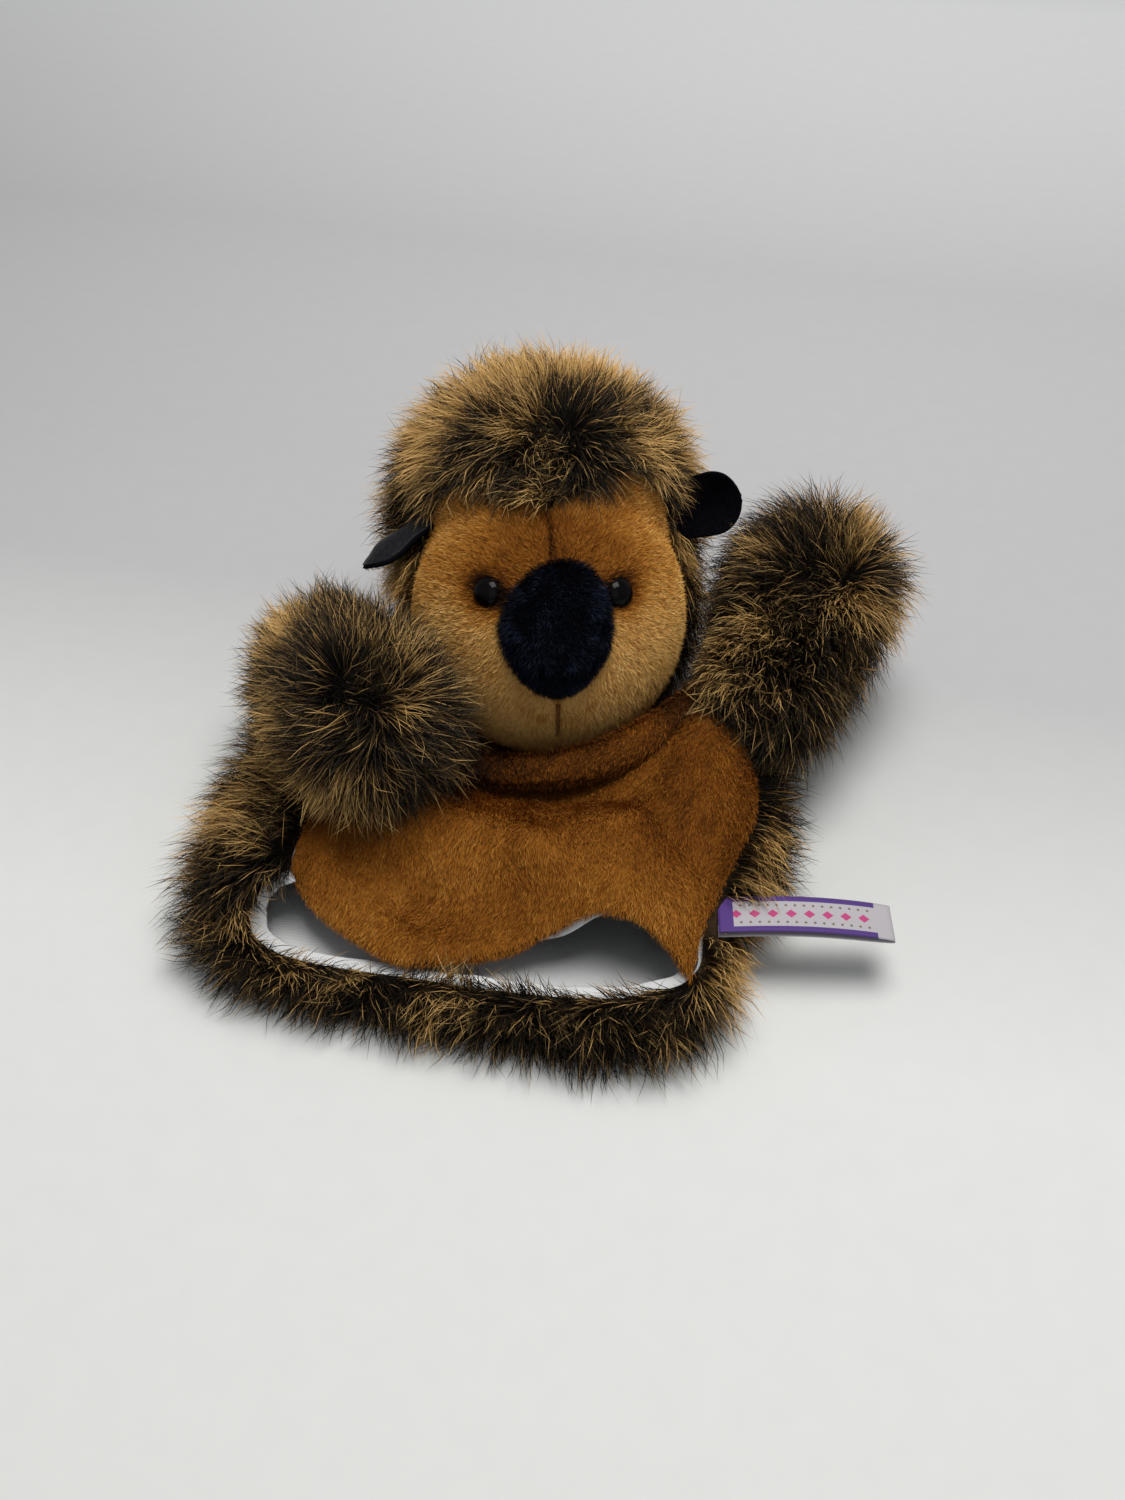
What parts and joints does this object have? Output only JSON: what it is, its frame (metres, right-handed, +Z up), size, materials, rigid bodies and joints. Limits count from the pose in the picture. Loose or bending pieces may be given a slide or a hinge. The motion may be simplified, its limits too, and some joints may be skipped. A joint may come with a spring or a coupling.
{
  "type": "hand puppet",
  "caption": "Plush hedgehog glove puppet with long pile back, short pile face and belly, and lined pockets for the hand.",
  "frame": {"origin": "on the flat of the back panel that the puppet rests on, under the middle of the body", "axes": "+Z up out of the belly, -Y towards the open hem, +Y towards the crown of the head"},
  "size_m": [0.2465, 0.2539, 0.1283],
  "materials": {
    "long_pile": "matte",
    "golden_plush": "matte",
    "black_plush": "matte",
    "lining_twill": "matte",
    "fibre_fill": "matte",
    "brown_thread": "matte",
    "black_eye": "glossy",
    "washer_plastic": "matte",
    "ear_leather": "satin",
    "woven_ribbon": "satin"
  },
  "bodies": {
    "torso": {"back_panel": "long_pile", "belly_panel": "golden_plush", "lining_back": "lining_twill", "lining_front": "lining_twill", "hem_facing": "lining_twill", "chest_roll": "golden_plush"},
    "neck": {"neck_tube": "lining_twill"},
    "head": {"hood": "long_pile", "face_left": "golden_plush", "face_right": "golden_plush", "head_stuffing": "fibre_fill", "head_pocket": "lining_twill", "nose_cover": "black_plush", "nose_stuffing": "fibre_fill", "mouth_stitch": "brown_thread", "eye_left": "black_eye", "eye_right": "black_eye", "eye_washer_left": "washer_plastic", "eye_washer_right": "washer_plastic"},
    "ear_left": {"ear_front_left": "black_plush", "ear_back_left": "ear_leather"},
    "ear_right": {"ear_front_right": "black_plush", "ear_back_right": "ear_leather"},
    "shoulder_left": {"shoulder_ring_left": "lining_twill"},
    "arm_left": {"arm_sleeve_left": "long_pile", "arm_stuffing_left": "fibre_fill", "arm_pocket_left": "lining_twill"},
    "shoulder_right": {"shoulder_ring_right": "lining_twill"},
    "arm_right": {"arm_sleeve_right": "long_pile", "arm_stuffing_right": "fibre_fill", "arm_pocket_right": "lining_twill"},
    "label": {"label_loop": "woven_ribbon"}
  },
  "joints": [
    {"name": "neck_turn", "type": "hinge", "parent": "torso", "child": "neck", "pos_m": [-0.002, 0.056, 0.021], "axis": [0, 0, 1], "range_deg": [-22, 5]},
    {"name": "head_nod", "type": "hinge", "parent": "neck", "child": "head", "pos_m": [-0.002, 0.056, 0.021], "axis": [0.9511, 0.309, 0], "range_deg": [-10, 5]},
    {"name": "shoulder_left_swing", "type": "hinge", "parent": "torso", "child": "shoulder_left", "pos_m": [-0.078, 0.026, 0.035], "axis": [0.4472, 0, 0.8944], "range_deg": [-80, 1]},
    {"name": "arm_left_lift", "type": "hinge", "parent": "shoulder_left", "child": "arm_left", "pos_m": [-0.078, 0.026, 0.035], "axis": [-0.8829, -0.4696, 0], "range_deg": [0, 10]},
    {"name": "shoulder_right_swing", "type": "hinge", "parent": "torso", "child": "shoulder_right", "pos_m": [0.078, 0.044, 0.04], "axis": [0, 0, 1], "range_deg": [-100, 1]},
    {"name": "arm_right_lift", "type": "hinge", "parent": "shoulder_right", "child": "arm_right", "pos_m": [0.078, 0.044, 0.04], "axis": [0.972, -0.2352, 0], "range_deg": [-4, 60]},
    {"name": "ear_left_flop", "type": "hinge", "parent": "head", "child": "ear_left", "pos_m": [-0.05885, 0.06432, 0.08338], "axis": [0.2628, -0.7558, 0.5997], "range_deg": [-20, 4]},
    {"name": "ear_right_flop", "type": "hinge", "parent": "head", "child": "ear_right", "pos_m": [0.03845, 0.09977, 0.07982], "axis": [0.4935, -0.4366, -0.7522], "range_deg": [-16, 18]},
    {"name": "label_flip", "type": "hinge", "parent": "torso", "child": "label", "pos_m": [0.09, -0.046, 0.022], "axis": [-0.2079, 0.9781, 0], "range_deg": [-35, 16]}
  ]
}
